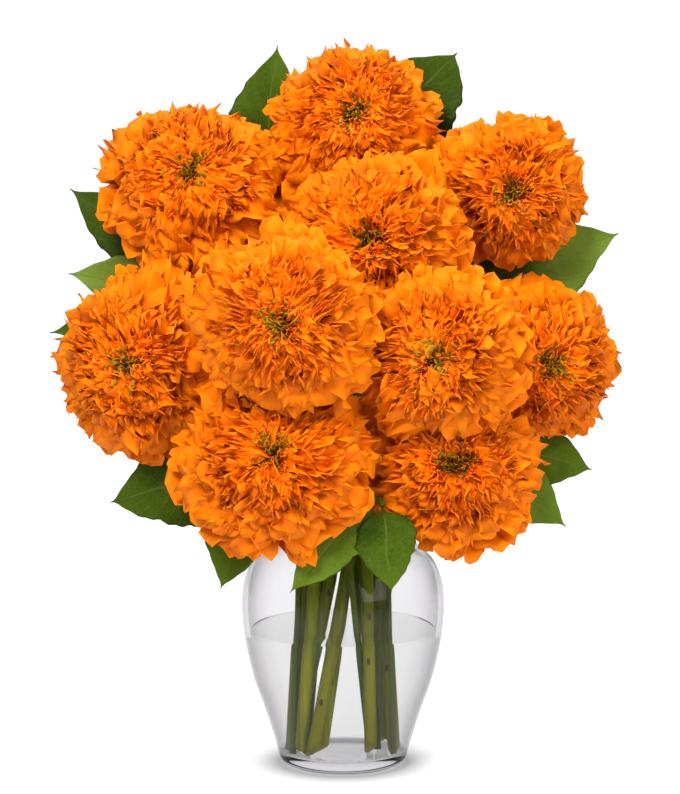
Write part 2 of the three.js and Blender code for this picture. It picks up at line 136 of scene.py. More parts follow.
# Petal shapes, as shares of the petal's own length: the ruffle is the depth of the waves at the rim
# and the growth how late they start, the arch bends the whole petal by degrees, the curl turns its
# end, and round and notch cut back its rim
PETALS = {
    "under": dict(seed=100, columns=11, rows=4, width=0.52, ruffle=0.055, growth=5, waves=2.4,
                  arch=-8, curl=-0.03, round=0.22, notch=0.06),
    "outer": dict(seed=200, columns=12, rows=4, width=0.48, ruffle=0.080, growth=8, waves=2.3,
                  arch=56, curl=-0.01, round=0.24, notch=0.08),
    "middle": dict(seed=300, columns=12, rows=4, width=0.47, ruffle=0.105, growth=8, waves=2.3,
                   arch=62, curl=0.00, round=0.24, notch=0.10),
    "inner": dict(seed=400, columns=7, rows=4, width=0.37, ruffle=0.090, growth=6, waves=1.5,
                  arch=40, curl=0.03, round=0.26, notch=0.12),
}
FLORET = dict(seed=500, columns=4, rows=3, width=0.19, ruffle=0.050, growth=2.2, waves=1.2,
              arch=20, curl=0.06, round=0.25, notch=0.0)
SHAPES_OF_A_KIND = 6
PETAL_VARIETY = dict(waves=(0.85, 1.2), ruffle=(0.8, 1.25), arch=(0.8, 1.2))
PETAL_THICKNESS = 0.006

# What all petals share: rows that crowd towards the rim, a foot that fans out, a second finer wave,
# one along the petal, waves that hang over, and where the curl starts
ROW_CROWDING = 1.4
FAN_FOOT = 0.14
FAN_SPREAD = 0.86
FAN_FULL = 0.86
FAN_POWER = 1.25
FINE_WAVE = 0.20
FINE_WAVE_RATE = 2.3
LONG_WAVE = 0.25
LONG_WAVE_RATE = 9
WAVE_OVERHANG = 0.46
CURL_START = 0.7
CURL_GAIN = 11
RIM_POWER = 2.6
NOTCH_RATE = 1.15

# How many petals of each kind, the nearest and farthest rim from the axis, and what chance changes
PETAL_RINGS = [
    ("under", 20, 0.96, 1.0),
    ("outer", 84, 0.66, 0.99),
    ("middle", 106, 0.36, 0.70),
    ("inner", 60, 0.24, 0.40),
]
PETAL_CHANCE = dict(place=(-3, 4), turn=0.10, reach=(-0.05, 0.04), height=(-0.05, 0.045),
                    foot_turn=0.45, twist=(-0.34, 0.34), roll=0.35, width=(0.8, 1.25))

# Petal feet: their distance from the axis and their height, and how both change outwards
FOOT_NEAREST = 0.05
FOOT_SPREAD = 0.13
FOOT_TOP = 0.08
FOOT_DROP = 0.38
FOOT_POWER = 1.5

# The core that the petals stand on, dark as painted shade: it takes the petals' darkest colour
CORE_CENTRE = (0, 0, -0.06)
CORE_SIZE = (0.22, 0.22, 0.27)

# The eye: unopened florets round the axis, on feet of their own, greener towards the middle
EYE_FLORETS = 170
EYE_REACH = 0.29
EYE_RISE = 0.07
EYE_FOOT_SHARE = 0.6
EYE_FOOT_HEIGHT = 0.16
EYE_EDGE_TONE = 0.5
EYE_CHANCE = dict(turn=0.1, height=(-0.05, 0.04), rim=0.012, roll=0.9, width=(0.8, 1.4),
                  tone=(0, 0.72))

# How the whole bloom is crumpled: the length of the sways and how far they move it, as shares of
# its radius
CRUMPLES = [(0.60, 0.030), (0.24, 0.010)]
CRUMPLE_WAVES = 9
CRUMPLE_VARIETY = (0.8, 1.4)

# Petals that stretch to fill the corners between blooms: bloom, direction in degrees and how much
# farther they reach
CORNERS = [
    (1, 232, 0.20), (2, -18, 0.30), (2, -84, 0.24), (3, 152, 0.12), (4, 50, 0.10), (4, 166, 0.26),
    (5, 56, 0.20), (5, -12, 0.12), (6, 98, 0.12), (6, 147, 0.16), (6, -136, 0.10), (6, -48, 0.22),
    (7, 216, 0.22), (9, 122, 0.14), (9, 33, 0.22), (9, -2, 0.14), (10, 141, 0.26), (10, 171, 0.12),
]
CORNER_WIDTH = 20.0

# Leaf shapes: how fast the blade swells from its foot and tapers to its tip, and how far its middle
# bows aside; widths from BROAD_WIDTH up take the broad leaf
LEAF = dict(swell=0.62, taper=1.0, bow=0.0)
BROAD_LEAF = dict(swell=0.66, taper=0.88, bow=-0.28)
BROAD_WIDTH = 50
LEAF_SHAPES = 4
LEAF_COLUMNS = 14
LEAF_ROWS = 36
LEAF_THICKNESS = 0.008
LEAF_ARCH = 0.09
LEAF_FOLD = 0.0528
FOLD_POWER = 1.2

# Blade and stalk along a leaf, the half-width of its stalk and of its fine tip
BLADE_START = 0.08
BLADE_LENGTH = 0.89
STALK_END = 0.3
STALK_HALF = 0.05
TIP_LENGTH = 0.07
TIP_HALF = 0.045
POINT_HALF = 0.006

# The margin's teeth as depth and rate, and the sways of the whole leaf aside and up
COARSE_TEETH = (0.022, 31)
FINE_TEETH = (0.030, 58)
LEAF_SWAY = (0.05, 1.3)
LEAF_WAVE = (0.054, 2.3)
WAVE_OFFSET = 0.8

# Sprigs: the stem's line, then its leaves: the foot's share of the upper line, tip, width, the way
# that the upper side faces, and the tone of green from dark at 0 through light at 1 to pale at 2,
# whose dark end is partly painted shade
FRONT = (0.0, -1.0, 0.45)
BACK = (0.0, 1.0, 0.5)
SPRIG_FOOT_RADIUS = 1.8
SPRIG_END_RADIUS = 1.3
SPRIG_ROUNDNESS = 3
SPRIG_STRAIGHT_POINTS = 16
SPRIG_BEND_POINTS = 20
SPRIG_FIELDS = ("name", "foot", "neck", "end", "leaves")
SPRIGS = [dict(zip(SPRIG_FIELDS, row)) for row in [
    ("top_left", (-17.7, 18.4), (-8.3, 23.4), (-44, 74, 288), [
        (1, (-35, 76, 373), 44, FRONT, 0.45),
        (0.82, (-90, 90, 286), 40, BACK, 0.4),
        (0.6, (-26, 112, 232), 42, BACK, 0.6),
    ]),
    ("top_right", (17.5, -0.3), (7.8, 18.1), (26, 78, 304), [
        (1, (61, 76, 369), 56, FRONT, 0.0),
        (0.82, (88, 104, 262), 40, BACK, 0.5),
        (0.66, (18, 118, 296), 40, BACK, 0.3),
    ]),
    ("left", (-25.9, 7.8), (-21.1, 9.5), (-72, 42, 240), [
        (1, (-145, 54, 298), 40, FRONT, 0.1),
        (0.9, (-144, 24, 256), 42, FRONT, 1.5),
        (0.8, (-156, 46, 222), 34, FRONT, 0.5),
    ]),
    ("right", (25.3, 2.6), (21.6, 13.8), (76, 56, 238), [
        (1, (146, 46, 275), 46, FRONT, 1.25),
        (0.9, (102, 52, 290), 34, FRONT, 0.5),
        (0.6, (112, 84, 200), 42, BACK, 0.4),
    ]),
    ("low_left", (-25.2, -10.4), (-22.5, -12.9), (-56, -2, 152), [
        (1, (-121, -6, 139.5), 46, FRONT, 0.3),
        (0.75, (-63, -34, 99), 38, FRONT, 0.78),
        (0.5, (-96, 48, 158), 44, BACK, 0.3),
    ]),
    ("low_right", (25.3, -8.9), (23, -3.4), (70, 33, 163), [
        (1, (132, 32, 150.5), 40, FRONT, 0.86),
        (0.8, (117, 6, 124.5), 42, FRONT, 1.15),
        (0.5, (88, 72, 140), 42, BACK, 0.5),
    ]),
    ("front", (13.4, 2.9), (2.4, -24.4), (20, -43, 144), [
        (1, (24.5, -62, 103), 31, FRONT, 0.52),
        (0.8, (-27, -58, 102), 30, FRONT, 1.1),
    ]),
    ("back", (-19.1, -1.6), (-7.5, 9.2), (-18, 62, 170), [
        (1, (-66, 92, 214), 44, BACK, 0.3),
        (0.85, (34, 96, 178), 44, BACK, 0.6),
        (0.6, (-34, 92, 122), 42, BACK, 0.5),
    ]),
]]

# Seeds of the chance draws
BLOOM_SEED = 4100
CRUMPLE_SEED = 5200
EYE_SEED = 7300
SPRIG_SEED = 9100
LEAF_SEED = 600
BROAD_LEAF_SEED = 611

# Petal colours from the foot at 0 to the rim at 1, in the open rows and in the tight ones round the
# eye, then what chance and the eye's nearness mix in. The dark towards the foot is partly the
# petals' deeper red and mostly painted shade where petals overlap, darkest in the tight rows
OPEN_PETAL_AND_SHADE = [
    (0.0, (0.030, 0.002, 0.000)), (0.35, (0.17, 0.014, 0.000)), (0.58, (0.74, 0.098, 0.000)),
    (0.75, (1.0, 0.215, 0.000)), (0.90, (1.0, 0.242, 0.001)), (1.0, (1.0, 0.244, 0.002)),
]
TIGHT_PETAL_AND_SHADE = [
    (0.0, (0.008, 0.001, 0.000)), (0.50, (0.035, 0.002, 0.000)), (0.70, (0.34, 0.028, 0.000)),
    (0.83, (0.98, 0.180, 0.000)), (0.93, (1.0, 0.236, 0.001)), (1.0, (1.0, 0.246, 0.002)),
]
LIGHT_ORANGE = (1.0, 0.30, 0.006)
RED_ORANGE = (0.85, 0.105, 0.000)
OLIVE_ORANGE = (0.34, 0.19, 0.003)
LIGHT_SHARE = 0.16
RED_SHARE = 0.13
OLIVE_SHARE = 0.7

# Zones of a bloom, as distances from its axis: each fades out from the first to the second
TIGHT_ZONE = (0.45, 0.85)
OLIVE_ZONE = (0.24, 0.37)
PAINTED_HOLLOW_ZONE = (0.70, 0.92)

# Petals darken with their depth under the dome, whose surface is at 0.5, as painted shade between
# them, and have fine streaks
PAINTED_HOLLOW_SHADES = [
    (0.46, (1.0, 1.0, 1.0)), (0.54, (0.86, 0.74, 0.70)), (0.62, (0.46, 0.24, 0.18)),
    (0.72, (0.12, 0.03, 0.02)),
]
PETAL_STREAKS = [(0.25, (0.84, 0.78, 0.75)), (0.7, (1.0, 1.0, 1.0))]
PETAL_STREAK_SCALES = (9.0, 1.6, 37.0)
PETAL_STREAK_SHARE = 0.8
PETAL_GLOW = (1.0, 0.75, 0.6)

# Eye colours by the tone of its florets, and how they darken towards their feet
EYE_TONES = [
    (0.0, (0.04, 0.020, 0.001)), (0.15, (0.24, 0.14, 0.002)), (0.34, (0.50, 0.27, 0.004)),
    (0.48, (0.40, 0.25, 0.005)), (0.60, (0.86, 0.21, 0.001)), (1.0, (1.0, 0.225, 0.002)),
]
EYE_FOOT_SHADES = [(0.1, (0.10, 0.06, 0.02)), (0.6, (0.8, 0.75, 0.7)), (1.0, (1.1, 1.05, 1.0))]
EYE_GRAIN = 900.0

# Leaf greens over the mottle, and the colours of its pale kind, tip, net, veins, margin and stalk,
# with the shares that they are mixed in by. The lighter tip is partly its yellower green and partly
# painted light, the leaf's foot lying in the blooms' shade
LEAF_DARK = [(0.3, (0.012, 0.032, 0.001)), (0.7, (0.032, 0.068, 0.002))]
LEAF_LIGHT = [(0.3, (0.050, 0.098, 0.003)), (0.7, (0.110, 0.175, 0.008))]
LEAF_PALE = (0.27, 0.36, 0.075)
LEAF_TIP_AND_LIGHT = (0.115, 0.20, 0.008)
LEAF_NET = (0.12, 0.18, 0.03)
LEAF_VEINS = (0.15, 0.21, 0.04)
LEAF_MARGIN = (0.010, 0.022, 0.001)
# Darker-toned leaves: partly their deeper green, partly painted shade under the blooms
LEAF_DEEPER_AND_SHADE = (0.60, 0.58, 0.56)
STALK_GREEN = (0.085, 0.115, 0.005)
TIP_SHARE = 0.5
NET_SHARE = 0.22
VEIN_SHARE = 0.5
MARGIN_SHARE = 0.45

# Side veins of a leaf: how many, how far they slant to the tip, how they wander, and how plain they
# are beside the midrib; then where each marking fades out
SIDE_VEINS = 9.0
VEIN_SLANT = 2.6
VEIN_WANDER = 0.9
WANDER_SCALE = 5.0
SIDE_VEIN_SHARE = 0.4
VEIN_DEPTH = 0.6
MOTTLE_SCALE = 90.0
NET_SCALE = 330.0
SIDE_VEIN_EDGE = (0.02, 0.09)
MIDRIB_EDGE = (0.015, 0.06)
NET_EDGE = (0.02, 0.12)
TIP_FADE = (1.0, 0.45)
MARGIN_FADE = (1.0, 0.93)

# Stem greens from 0 at the lower of two heights, in metres, to 1 at the upper, olive low down and
# darker upwards, partly their own greens and partly painted shade under the blooms, and streaks
STEM_GREENS_AND_SHADE = [
    (0.0, (0.240, 0.248, 0.004)), (0.36, (0.210, 0.230, 0.004)), (0.50, (0.155, 0.190, 0.002)),
    (1.0, (0.065, 0.105, 0.003)),
]
STEM_GREEN_HEIGHTS = (0.010, 0.150)
STEM_STREAKS = [(0.3, (0.62, 0.66, 0.55)), (0.7, (1.25, 1.2, 1.0))]
STEM_STREAK_SCALES = (420.0, 420.0, 14.0)
JOINT_GREEN = (0.30, 0.36, 0.04)
JOINT_GREEN_SHARE = 0.7
STEM_DEEPER = (0.80, 0.76, 0.76)
SCAR_BROWN = (0.085, 0.042, 0.010)

# Clear parts: tints from where they face the eye, at 0, to their edges, at 1, a light grey of their
# own that darkens towards the edges as painted shade. They bend light less than real glass and
# water do, so that the stems look as straight and clear as in the photo
GLASS_TINTS_AND_EDGE_SHADE = [
    (0.0, (0.915, 0.910, 0.915)), (0.30, (0.895, 0.890, 0.895)), (0.45, (0.80, 0.79, 0.80)),
    (0.60, (0.62, 0.605, 0.62)), (0.80, (0.36, 0.35, 0.36)), (1.0, (0.20, 0.19, 0.20)),
]
GLASS_IOR = 1.25
GLASS_SHINE = 0.12
GLASS_DEPTH_TINT = (0.70, 0.69, 0.72, 1.0)
GLASS_DEPTH_SHADE = 36.0
WATER_TINTS_AND_EDGE_SHADE = [(0.0, (0.975, 0.977, 0.970)), (0.4, (0.945, 0.95, 0.94)), (1.0, (0.74, 0.75, 0.72))]
WATER_IOR = 1.04
WATER_SHINE = 0.2
RIPPLE_SCALE = 18.0

# Studio, in metres: a white world with darker sides, which grows lighter from front to back, and
# three lamps, each with its place, size and power
SIDE_SHADES = [(0.45, (1.0, 1.0, 1.0)), (0.85, (0.42, 0.42, 0.45)), (1.0, (0.35, 0.35, 0.38))]
FRONT_TO_BACK = (-0.8, 0.1, 0.35)
WORLD_STRENGTH = 0.95
LAMPS = [
    ("key_light", (-0.7, -1.9, 1.9), 1.0, 74.0),
    ("fill_light", (1.3, -1.6, 1.0), 1.2, 24.0),
    ("top_light", (0.0, -0.3, 2.2), 1.4, 20.0),
]
LAMP_AIM = (0, 0, 0.2)

# Paper floor: a painted shadow in a ring round the vase's foot, and the wedge of floor, from a
# point before the bouquet, that is lit to look as white as the photo's ground
FLOOR_RADIUS = 30
PAPER_WHITE = (0.25, 0.25, 0.25)
PAINTED_SHADOW_GREY = (0.10, 0.10, 0.10)
PAINTED_SHADOW_OUTER = (0.031, 0.060)
PAINTED_SHADOW_INNER = (0.034, 0.024)
WEDGE_POINT = 2.2
WEDGE_NEAREST = 0.5
WEDGE_EDGE = (0.12, 0.34)
PAPER_GLOW = 0.36
WEDGE_GLOW = 0.49
PAINTED_SHADOW_DIM = 0.65

# Camera: the photo's view, eight degrees down on to the bouquet from a long lens
VIEW_TARGET = (-0.0016, 0.0, 0.194)
VIEW_DOWN = 8
VIEW_DISTANCE = 1.8
VIEW_LENS = 157


# Hand tools
def deselect_all():
    if bpy.context.object and bpy.context.object.mode != "OBJECT":
        bpy.ops.object.mode_set(mode="OBJECT")
    bpy.ops.object.select_all(action="DESELECT")


def pick(piece):
    deselect_all()
    piece.select_set(True)
    bpy.context.view_layer.objects.active = piece


def edit_all():
    bpy.ops.object.mode_set(mode="EDIT")
    bpy.ops.mesh.select_all(action="SELECT")


def weld_outwards(distance):
    """Merges points that meet, turns all faces outwards and leaves edit mode."""
    bpy.ops.mesh.select_all(action="SELECT")
    bpy.ops.mesh.remove_doubles(threshold=distance)
    bpy.ops.mesh.normals_make_consistent(inside=False)
    bpy.ops.object.mode_set(mode="OBJECT")


def thicken(piece, thickness):
    """Gives a sheet its thickness, half to each side."""
    pick(piece)
    modifier = piece.modifiers.new("Solidify", "SOLIDIFY")
    modifier.thickness = thickness
    modifier.offset = 0.0
    bpy.ops.object.modifier_apply(modifier=modifier.name)


def points_of(mesh):
    flat = np.empty(len(mesh.vertices) * 3, np.float32)
    mesh.vertices.foreach_get("co", flat)
    return flat.reshape(-1, 3).astype(float)


def set_points(mesh, points):
    mesh.vertices.foreach_set("co", points.astype(np.float32).ravel())
    mesh.update()


def mark(mesh, **marks):
    """Keeps named numbers for each point of a mesh, for its finish to read."""
    for name, values in marks.items():
        layer = mesh.attributes.get(name) or mesh.attributes.new(name, "FLOAT", "POINT")
        numbers = np.empty(len(mesh.vertices), np.float32)
        numbers[:] = values
        layer.data.foreach_set("value", numbers)


def join_all(name, members):
    deselect_all()
    for member in members:
        member.select_set(True)
    bpy.context.view_layer.objects.active = members[0]
    bpy.ops.object.join()
    joined = bpy.context.view_layer.objects.active
    joined.name = joined.data.name = name
    return joined


def new_object(name, data):
    made = bpy.data.objects.new(name, data)
    bpy.context.scene.collection.objects.link(made)
    return made


def copy_of(pattern, placing):
    made = pattern.copy()
    made.data = pattern.data.copy()
    made.data.transform(placing)
    bpy.context.scene.collection.objects.link(made)
    return made


def put_away(patterns):
    for pattern in patterns:
        bpy.data.objects.remove(pattern)


def about_axis(radius, angle, height):
    """A point at a distance, angle and height about the upright axis."""
    return Vector((radius * math.cos(angle), radius * math.sin(angle), height))


def turned_to(face):
    """The turn that tips something upright over to face a direction."""
    return Vector((0, 0, 1)).rotation_difference(face).to_matrix().to_4x4()


def hand_in(piece, slot, finish, *nodes):
    """The piece takes its finish, rides with the bouquet and stands for its CAD nodes."""
    piece.data.materials.clear()
    piece.data.materials.append(finish)
    for polygon in piece.data.polygons:
        polygon.use_smooth = True
    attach(piece, "root")
    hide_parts(*nodes)


# Finishes
def new_finish(name):
    finish = bpy.data.materials.new(name)
    finish.use_nodes = True
    finish.node_tree.nodes.clear()
    return finish, finish.node_tree


def add(tree, kind, inputs=None, **settings):
    """A shader node with its settings and inputs, linked where an input is a node's output."""
    made = tree.nodes.new(f"ShaderNode{kind}")
    for key, value in settings.items():
        setattr(made, key, value)
    for key, value in (inputs or {}).items():
        if isinstance(value, bpy.types.NodeSocket):
            tree.links.new(value, made.inputs[key])
        else:
            made.inputs[key].default_value = value
    return made


def attribute(tree, name):
    return add(tree, "Attribute", attribute_name=name).outputs["Fac"]


def attributes(tree, *names):
    return [attribute(tree, name) for name in names]


def calc(tree, operation, *values):
    return add(tree, "Math", dict(enumerate(values)), operation=operation).outputs[0]


def times(tree, first, second):
    return calc(tree, "MULTIPLY", first, second)


def minus(tree, first, second):
    return calc(tree, "SUBTRACT", first, second)


def ramp(tree, value, stops):
    made = add(tree, "ValToRGB", {"Fac": value})
    elements = made.color_ramp.elements
    while len(elements) < len(stops):
        elements.new(0.5)
    for element, (place, colour) in zip(elements, stops):
        element.position = place
        element.color = (*colour, 1.0)
    return made.outputs["Color"]


def blend(tree, share, first, second, way="MIX"):
    made = add(tree, "Mix", data_type="RGBA", blend_type=way)
    sockets = [made.inputs[index] for index in (0, 6, 7)]
    for socket, value in zip(sockets, (share, first, second)):
        if isinstance(value, bpy.types.NodeSocket):
            tree.links.new(value, socket)
        elif isinstance(value, tuple):
            socket.default_value = (*value, 1.0)
        else:
            socket.default_value = value
    return made.outputs[2]


def tinted(tree, colour, tint, share=1.0):
    return blend(tree, share, colour, tint, "MULTIPLY")


def vector(tree, x, y, z):
    return add(tree, "CombineXYZ", {"X": x, "Y": y, "Z": z}).outputs[0]


def noise(tree, place, scale, detail=2.0, roughness=0.5):
    inputs = {"Vector": place, "Scale": scale, "Detail": detail, "Roughness": roughness}
    return add(tree, "TexNoise", inputs).outputs["Fac"]


def object_place(tree):
    return add(tree, "TexCoord").outputs["Object"]


def spread(tree, value, start, end, low=0.0, high=1.0):
    """The low number where the value is at the start, rising to the high one at the end."""
    return add(tree, "MapRange", {
        "Value": value, "From Min": start, "From Max": end, "To Min": low, "To Max": high,
    }).outputs[0]


def fade(tree, value, near, far):
    """1 where the value is under near, falling to 0 at far."""
    return spread(tree, value, near, far, 1.0, 0.0)


def bump(tree, height, distance, strength):
    inputs = {"Height": height, "Distance": distance, "Strength": strength}
    return add(tree, "Bump", inputs).outputs[0]


def thin_living(tree, colour, normal, roughness, glow, light, shine=0.3):
    """A petal or leaf: its own surface, and a share of the light that shines through it."""
    surface = add(tree, "BsdfPrincipled", {
        "Base Color": colour, "Normal": normal, "Roughness": roughness, "Specular IOR Level": shine,
    })
    through = add(tree, "BsdfTranslucent", {"Color": glow, "Normal": normal})
    both = add(tree, "MixShader", {0: light})
    tree.links.new(surface.outputs[0], both.inputs[1])
    tree.links.new(through.outputs[0], both.inputs[2])
    add(tree, "OutputMaterial", {"Surface": both.outputs[0]})


def petal_finish():
    finish, tree = new_finish("petal_orange")
    along, across, tone, zone = attributes(tree, "along", "across", "tone", "zone")
    # The dark petal feet are partly their own deeper red and mostly painted shade between petals
    open_body = ramp(tree, along, OPEN_PETAL_AND_SHADE)
    tight_body = ramp(tree, along, TIGHT_PETAL_AND_SHADE)
    body = blend(tree, fade(tree, zone, *TIGHT_ZONE), open_body, tight_body)
    lighter = blend(tree, times(tree, tone, LIGHT_SHARE), body, LIGHT_ORANGE)
    redder = blend(tree, times(tree, minus(tree, 1.0, tone), RED_SHARE), lighter, RED_ORANGE)
    olive_share = times(tree, fade(tree, zone, *OLIVE_ZONE), times(tree, tone, OLIVE_SHARE))
    centred = blend(tree, olive_share, redder, OLIVE_ORANGE)
    ways = zip((across, along, tone), PETAL_STREAK_SCALES)
    streak_place = vector(tree, *(times(tree, way, scale) for way, scale in ways))
    streaks = noise(tree, streak_place, 1.0, 3.0, 0.6)
    streak_colour = ramp(tree, streaks, PETAL_STREAKS)
    # Painted shade: petals darken the deeper they lie under the dome
    hollow = ramp(tree, attribute(tree, "depth"), PAINTED_HOLLOW_SHADES)
    outside = fade(tree, zone, *PAINTED_HOLLOW_ZONE)
    shaded = blend(tree, outside, centred, tinted(tree, centred, hollow))
    colour = tinted(tree, shaded, streak_colour, PETAL_STREAK_SHARE)
    glow = tinted(tree, colour, PETAL_GLOW)
    thin_living(tree, colour, bump(tree, streaks, 0.0005, 0.6), 0.62, glow, 0.12, 0.15)
    return finish


def eye_finish():
    finish, tree = new_finish("eye_olive")
    along, tone = attributes(tree, "along", "tone")
    body = ramp(tree, tone, EYE_TONES)
    foot = ramp(tree, along, EYE_FOOT_SHADES)
    colour = tinted(tree, body, foot)
    grain = noise(tree, object_place(tree), EYE_GRAIN)
    thin_living(tree, colour, bump(tree, grain, 0.0003, 0.5), 0.6, colour, 0.12)
    return finish


def leaf_finish():
    finish, tree = new_finish("leaf_green")
    along, across, tone = attributes(tree, "along", "across", "tone")
    side = calc(tree, "ABSOLUTE", across)
    vein_run = minus(tree, times(tree, along, SIDE_VEINS), times(tree, side, VEIN_SLANT))
    wander = noise(tree, vector(tree, across, along, tone), WANDER_SCALE)
    vein_wave = calc(tree, "FRACT", calc(tree, "ADD", vein_run, times(tree, wander, VEIN_WANDER)))
    vein_gap = calc(tree, "ABSOLUTE", minus(tree, vein_wave, 0.5))
    side_vein = fade(tree, vein_gap, *SIDE_VEIN_EDGE)
    midrib = fade(tree, side, *MIDRIB_EDGE)
    veins = calc(tree, "MAXIMUM", times(tree, side_vein, SIDE_VEIN_SHARE), midrib)
    mottle = noise(tree, object_place(tree), MOTTLE_SCALE, 4.0, 0.6)
    cells = add(tree, "TexVoronoi", {"Vector": object_place(tree), "Scale": NET_SCALE},
                feature="DISTANCE_TO_EDGE")
    net = fade(tree, cells.outputs["Distance"], *NET_EDGE)
    dark = ramp(tree, mottle, LEAF_DARK)
    light = ramp(tree, mottle, LEAF_LIGHT)
    pale = minus(tree, tone, 1.0)
    body = blend(tree, pale, blend(tree, tone, dark, light), LEAF_PALE)
    # Lighter towards the tip: partly a yellower green, partly painted light
    tipped_and_lit = blend(tree, times(tree, fade(tree, along, *TIP_FADE), TIP_SHARE), body, LEAF_TIP_AND_LIGHT)
    netted = blend(tree, times(tree, net, NET_SHARE), tipped_and_lit, LEAF_NET)
    veined = blend(tree, times(tree, veins, VEIN_SHARE), netted, LEAF_VEINS)
    margin = times(tree, fade(tree, side, *MARGIN_FADE), MARGIN_SHARE)
    edged = blend(tree, margin, veined, LEAF_MARGIN)
    # Low tones darken the leaf: partly its deeper green, partly painted shade
    deepened_and_shaded = tinted(tree, edged, LEAF_DEEPER_AND_SHADE, minus(tree, 1.0, tone))
    colour = blend(tree, attribute(tree, "stalk"), deepened_and_shaded, STALK_GREEN)
    height = minus(tree, mottle, times(tree, veins, VEIN_DEPTH))
    thin_living(tree, colour, bump(tree, height, 0.0006, 0.7), 0.55, colour, 0.12, 0.10)
    return finish


def stem_finish():
    finish, tree = new_finish("stem_green")
    place = object_place(tree)
    stretching = {"Vector": place, "Scale": STEM_STREAK_SCALES}
    stretched = add(tree, "Mapping", stretching).outputs[0]
    streaks = noise(tree, stretched, 1.0, 3.0, 0.6)
    height = add(tree, "SeparateXYZ", {0: place}).outputs["Z"]
    # Darker upwards: partly the stems' own green, partly painted shade under the blooms
    body = ramp(tree, spread(tree, height, *STEM_GREEN_HEIGHTS), STEM_GREENS_AND_SHADE)
    swollen = blend(tree, times(tree, attribute(tree, "joint"), JOINT_GREEN_SHARE), body,
                    JOINT_GREEN)
    streaked = tinted(tree, swollen, ramp(tree, streaks, STEM_STREAKS))
    toned = tinted(tree, streaked, STEM_DEEPER, attribute(tree, "tone"))
    colour = blend(tree, attribute(tree, "scar"), toned, SCAR_BROWN)
    shader = add(tree, "BsdfPrincipled", {
        "Base Color": colour, "Normal": bump(tree, streaks, 0.0006, 0.7), "Roughness": 0.5,
        "Specular IOR Level": 0.08,
    })
    add(tree, "OutputMaterial", {"Surface": shader.outputs[0]})
    return finish


def clear_finish(name, ior, shine, tints, depth_shade=0.0):
    """Clear glass or water in its tints; a depth shade darkens it where it is thick."""
    finish, tree = new_finish(name)
    ripple = noise(tree, object_place(tree), RIPPLE_SCALE)
    # The tints darken towards the edges as painted shade
    facing = add(tree, "LayerWeight", {"Blend": 0.5}).outputs["Facing"]
    shader = add(tree, "BsdfPrincipled", {
        "Base Color": ramp(tree, facing, tints), "Roughness": 0.0, "IOR": ior,
        "Transmission Weight": 1.0, "Specular IOR Level": shine,
        "Normal": bump(tree, ripple, 0.0004, 0.25),
    })
    surface = add(tree, "OutputMaterial", {"Surface": shader.outputs[0]})
    if depth_shade:
        inputs = {"Color": GLASS_DEPTH_TINT, "Density": depth_shade}
        shade = add(tree, "VolumeAbsorption", inputs)
        tree.links.new(shade.outputs[0], surface.inputs["Volume"])
    return finish


# Vase and water
def smooth_line(points, steps):
    """Points along a smooth line that passes through every given point."""
    before_first = 2 * np.array(points[0]) - points[1]
    after_last = 2 * np.array(points[-1]) - points[-2]
    ends = [before_first, *map(np.array, points), after_last]
    line = []
    for before, start, stop, after in zip(ends, ends[1:], ends[2:], ends[3:]):
        for step in range(steps):
            t = step / steps
            line.append(0.5 * (
                2 * start + (stop - before) * t
                + (2 * before - 5 * start + 4 * stop - after) * t ** 2
                + (3 * start - before - 3 * stop + after) * t ** 3))
    return [*line, np.array(points[-1], float)]


def spun(name, profile):
    """A closed body spun about the upright axis from its outline of radius and height."""
    mesh = bpy.data.meshes.new(name)
    corners = [(radius * MM, 0.0, height * MM) for radius, height in profile]
    mesh.from_pydata(corners, [(i, i + 1) for i in range(len(corners) - 1)], [])
    piece = new_object(name, mesh)
    pick(piece)
    edit_all()
    bpy.ops.mesh.spin(steps=VASE_TURNS, angle=2 * math.pi, center=(0, 0, 0), axis=(0, 0, 1))
    weld_outwards(WELD)
    return piece


def inner_wall(bite=0.0):
    """The vase's inner wall from the floor's round corner to the rim, moved out by a bite."""
    wall = [(radius - VASE_WALL, height)
            for radius, height in smooth_line(VASE_OUTLINE, OUTLINE_STEPS)
            if height > VASE_FLOOR + FLOOR_ROUND]
    corner = wall[0][0] - FLOOR_ROUND
    arc = [(corner + FLOOR_ROUND * math.sin(turn), VASE_FLOOR + FLOOR_ROUND * (1 - math.cos(turn)))
           for turn in np.linspace(0, math.pi / 2, FLOOR_ROUND_POINTS)]
    return [(radius + bite, height) for radius, height in arc + wall]


def make_vase(finish):
    outside = smooth_line(VASE_OUTLINE, OUTLINE_STEPS)
    rim_radius, rim_height = VASE_OUTLINE[-1]
    half = VASE_WALL / 2
    lip = [(rim_radius - half + half * math.cos(turn), rim_height + RIM_CROWN * math.sin(turn))
           for turn in np.linspace(0, math.pi, RIM_POINTS)[1:-1]]
    profile = [(0, 0), *outside, *lip, *reversed(inner_wall()), (0, VASE_FLOOR)]
    hand_in(spun("glass_vase", profile), "vase_glass", finish, "vase")


def make_water(finish):
    top = WATER_LEVEL + MENISCUS_RISE
    wall = [(radius, height) for radius, height in inner_wall(WATER_BITE) if height < top]
    bottom = VASE_FLOOR - WATER_BITE
    edge = wall[-1][0]
    surface = [(edge - inward, WATER_LEVEL + rise) for inward, rise in MENISCUS]
    profile = [(0, bottom), (wall[0][0], bottom), *wall[1:], *surface, (0, WATER_LEVEL)]
    hand_in(spun("vase_water", profile), "water", finish, "water")


# Stems
def face_of(bloom):
    turn, tilt = math.radians(bloom["turn"]), math.radians(bloom["tilt"])
    level = math.cos(tilt)
    return Vector((math.sin(turn) * level, -math.cos(turn) * level, math.sin(tilt)))


def foot_and_neck(plan):
    return Vector((*plan["foot"], STEM_FOOT)), Vector((*plan["neck"], NECK_HEIGHT))


